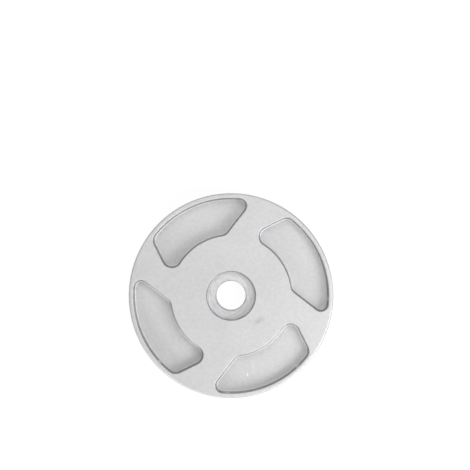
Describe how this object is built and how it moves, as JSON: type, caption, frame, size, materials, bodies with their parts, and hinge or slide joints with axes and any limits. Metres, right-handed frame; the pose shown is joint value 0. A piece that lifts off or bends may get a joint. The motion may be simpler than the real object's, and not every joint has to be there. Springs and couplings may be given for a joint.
{
  "type": "trimmer head",
  "caption": "Round cast aluminium head for a brush cutter, with a stepped bore, leaning pockets that each hold a folded cutting line, and flared line holes through the rim.",
  "frame": {"origin": "centre of the bore, in the plane of the back face", "axes": "+Z along the bore, out of the pocketed face; +X to the right and +Y up, seen from above as the picture shows the head"},
  "size_m": [0.105, 0.105, 0.014],
  "materials": {
    "cast_aluminium": "as cast and shot blasted, matte"
  },
  "bodies": {
    "root": {"head_casting": "cast_aluminium"}
  },
  "joints": []
}
